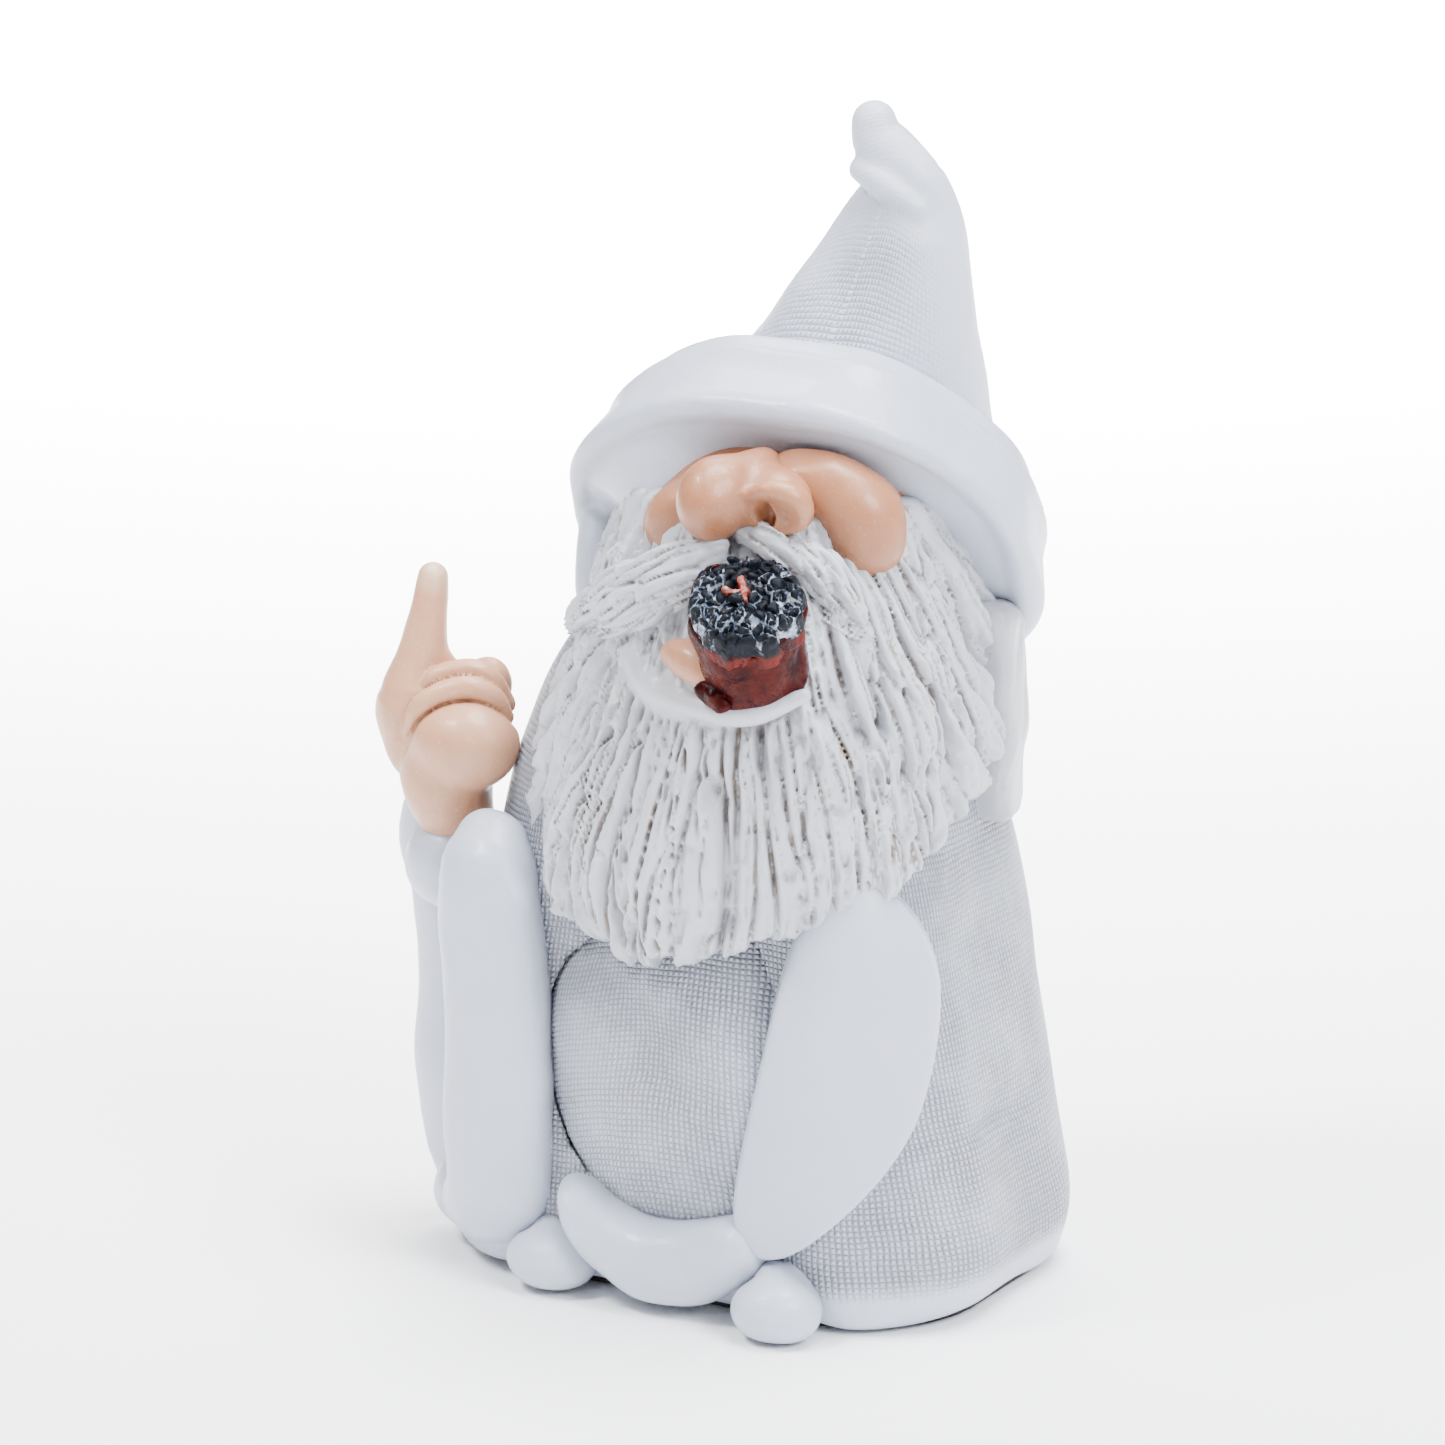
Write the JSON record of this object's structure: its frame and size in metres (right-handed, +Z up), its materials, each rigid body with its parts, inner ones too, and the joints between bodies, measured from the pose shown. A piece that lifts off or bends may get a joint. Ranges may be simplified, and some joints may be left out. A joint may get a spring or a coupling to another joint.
{
  "type": "garden gnome figurine",
  "caption": "Garden gnome figurine: cast robe, long beard, pointed hat with folded brim, two sleeves, a raised hand and a cigar.",
  "frame": {"origin": "middle of the base pad's underside, which stands on the floor", "axes": "+Z up, -Y the way the gnome faces, +X towards the gnome's left hand"},
  "size_m": [0.0833, 0.0695, 0.15],
  "materials": {
    "white_cloth": "matte",
    "white_smooth": "satin",
    "white_hair": "satin",
    "face_paint": "satin",
    "lip_paint": "satin",
    "hand_paint": "satin",
    "wrapper": "gloss",
    "ash": "satin",
    "ember": "gloss",
    "pin_steel": "satin",
    "plate_resin": "matte",
    "pad": "matte"
  },
  "bodies": {
    "root": {"base_pad": "pad", "base_plate": "plate_resin", "robe_shell": "white_cloth", "belly_panel": "white_cloth", "front_hem": "white_smooth", "right_shoe": "white_smooth", "left_shoe": "white_smooth", "right_sleeve": "white_smooth", "right_cuff_inner": "white_smooth", "right_cuff_outer": "white_smooth", "left_sleeve": "white_smooth", "head": "face_paint", "nose": "face_paint", "beard": "white_hair", "moustache_right": "white_smooth", "moustache_left": "white_hair", "lower_lip": "lip_paint", "hat_brim": "white_smooth", "hat_cone": "white_cloth", "back_hair": "white_hair", "cigar_wrapper": "wrapper", "cigar_wrapper_tail": "wrapper", "cigar_ash": "ash", "cigar_ember": "ember", "right_hand": "hand_paint", "hand_pin": "pin_steel", "neck_pin": "pin_steel", "cigar_pin": "pin_steel"}
  },
  "joints": []
}
